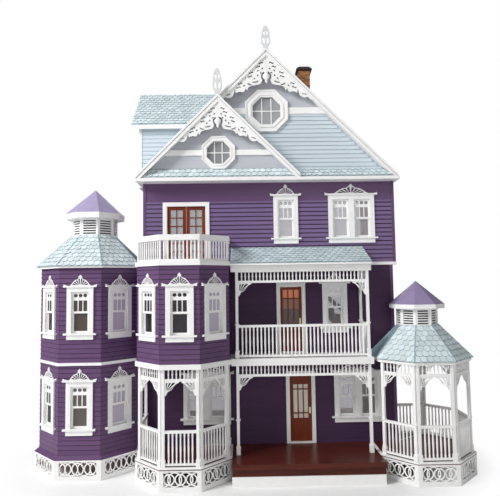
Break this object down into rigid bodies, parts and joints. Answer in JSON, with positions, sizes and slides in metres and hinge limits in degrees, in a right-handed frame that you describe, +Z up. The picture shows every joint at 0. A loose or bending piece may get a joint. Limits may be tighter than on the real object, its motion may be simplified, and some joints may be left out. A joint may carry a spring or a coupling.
{
  "type": "wooden dollhouse",
  "caption": "victorian wooden dollhouse with octagonal tower, bay, porches, gazebo and gables; open back, opening doors and sliding sashes",
  "frame": {"origin": "point on the underside of the base tray, in the middle of the overall depth and near the middle of the overall width", "axes": "+X to the viewer's right, +Y away from the viewer toward the open back, +Z up"},
  "size_m": [1.1245, 0.5351, 1.1866],
  "materials": {
    "purple_paint": "satin purple paint over wood",
    "white_paint": "satin white paint over wood",
    "blue_shingle": "pale blue painted wood shingles",
    "blue_siding": "pale blue-grey paint over wood",
    "lilac_paint": "satin lilac paint over wood",
    "mahogany": "gloss mahogany stain",
    "wood_floor": "bare varnished board",
    "brick": "miniature brick",
    "dark_cap": "dark painted cap",
    "brass": "small brass plate and knob"
  },
  "bodies": {
    "house": {"foundation": "white_paint", "floor_boards": "wood_floor", "cornice_board": "white_paint", "lower_front_wall": "purple_paint", "upper_front_wall": "purple_paint", "side_walls": "purple_paint", "staircase": "mahogany", "gable_walls": "blue_siding", "main_roof": "blue_shingle", "small_gable_roof": "blue_shingle", "pent_roof": "blue_shingle", "gable_trim": "white_paint", "gable_fretwork": "white_paint", "finials": "white_paint", "gable_windows": "white_paint", "dormer_walls": "blue_siding", "dormer_roof": "blue_shingle", "chimney_stack": "brick", "chimney_cap": "dark_cap", "tower_walls": "purple_paint", "tower_mouldings": "white_paint", "tower_roof": "blue_shingle", "gazebo_roof": "blue_shingle", "tower_cupola": "white_paint", "tower_cap": "lilac_paint", "gazebo_cupola": "white_paint", "gazebo_cap": "lilac_paint", "bay_walls": "purple_paint", "bay_floor": "white_paint", "balcony_floor": "white_paint", "balcony_railing": "white_paint", "decks": "mahogany", "porch_base": "white_paint", "upper_porch_floor": "white_paint", "porch_roof": "blue_shingle", "lattice_skirts": "white_paint", "posts": "white_paint", "railings": "white_paint", "friezes": "white_paint", "frieze_brackets": "white_paint", "window_casings": "white_paint", "fixed_sashes": "white_paint", "door_frames": "white_paint"},
    "front_door": {"front_door": "mahogany", "front_door_handle": "brass"},
    "upper_door": {"upper_door": "mahogany", "upper_door_handle": "brass"},
    "french_door_left": {"french_door_left": "mahogany"},
    "french_door_right": {"french_door_right": "mahogany"},
    "sash_tower_ground_left": {"sash_tower_ground_left": "white_paint"},
    "sash_tower_ground_front": {"sash_tower_ground_front": "white_paint"},
    "sash_tower_ground_right": {"sash_tower_ground_right": "white_paint"},
    "sash_tower_upper_left": {"sash_tower_upper_left": "white_paint"},
    "sash_tower_upper_front": {"sash_tower_upper_front": "white_paint"},
    "sash_tower_upper_right": {"sash_tower_upper_right": "white_paint"},
    "sash_bay_left": {"sash_bay_left": "white_paint"},
    "sash_bay_front": {"sash_bay_front": "white_paint"},
    "sash_bay_right": {"sash_bay_right": "white_paint"},
    "sash_third_floor": {"sash_third_floor": "white_paint"},
    "sash_upper_porch": {"sash_upper_porch": "white_paint"}
  },
  "joints": [
    {"name": "front_door_hinge", "type": "hinge", "parent": "house", "child": "front_door", "pos_m": [0.1149, -0.0905, 0.139], "axis": [0, 0, 1], "range_deg": [0, 90]},
    {"name": "upper_door_hinge", "type": "hinge", "parent": "house", "child": "upper_door", "pos_m": [0.0937, -0.0905, 0.375], "axis": [0, 0, 1], "range_deg": [0, 90]},
    {"name": "french_door_left_hinge", "type": "hinge", "parent": "house", "child": "french_door_left", "pos_m": [-0.21085, -0.0905, 0.6165], "axis": [0, 0, 1], "range_deg": [0, 90]},
    {"name": "french_door_right_hinge", "type": "hinge", "parent": "house", "child": "french_door_right", "pos_m": [-0.11315, -0.0905, 0.6165], "axis": [0, 0, -1], "range_deg": [0, 90]},
    {"name": "sash_tower_ground_left_slide", "type": "slide", "parent": "house", "child": "sash_tower_ground_left", "axis": [0, 0, 1], "range_m": [0, 0.046]},
    {"name": "sash_tower_ground_front_slide", "type": "slide", "parent": "house", "child": "sash_tower_ground_front", "axis": [0, 0, 1], "range_m": [0, 0.046]},
    {"name": "sash_tower_ground_right_slide", "type": "slide", "parent": "house", "child": "sash_tower_ground_right", "axis": [0, 0, 1], "range_m": [0, 0.046]},
    {"name": "sash_tower_upper_left_slide", "type": "slide", "parent": "house", "child": "sash_tower_upper_left", "axis": [0, 0, 1], "range_m": [0, 0.046]},
    {"name": "sash_tower_upper_front_slide", "type": "slide", "parent": "house", "child": "sash_tower_upper_front", "axis": [0, 0, 1], "range_m": [0, 0.046]},
    {"name": "sash_tower_upper_right_slide", "type": "slide", "parent": "house", "child": "sash_tower_upper_right", "axis": [0, 0, 1], "range_m": [0, 0.046]},
    {"name": "sash_bay_left_slide", "type": "slide", "parent": "house", "child": "sash_bay_left", "axis": [0, 0, 1], "range_m": [0, 0.046]},
    {"name": "sash_bay_front_slide", "type": "slide", "parent": "house", "child": "sash_bay_front", "axis": [0, 0, 1], "range_m": [0, 0.046]},
    {"name": "sash_bay_right_slide", "type": "slide", "parent": "house", "child": "sash_bay_right", "axis": [0, 0, 1], "range_m": [0, 0.046]},
    {"name": "sash_third_floor_slide", "type": "slide", "parent": "house", "child": "sash_third_floor", "axis": [0, 0, 1], "range_m": [0, 0.046]},
    {"name": "sash_upper_porch_slide", "type": "slide", "parent": "house", "child": "sash_upper_porch", "axis": [0, 0, 1], "range_m": [0, 0.046]}
  ]
}
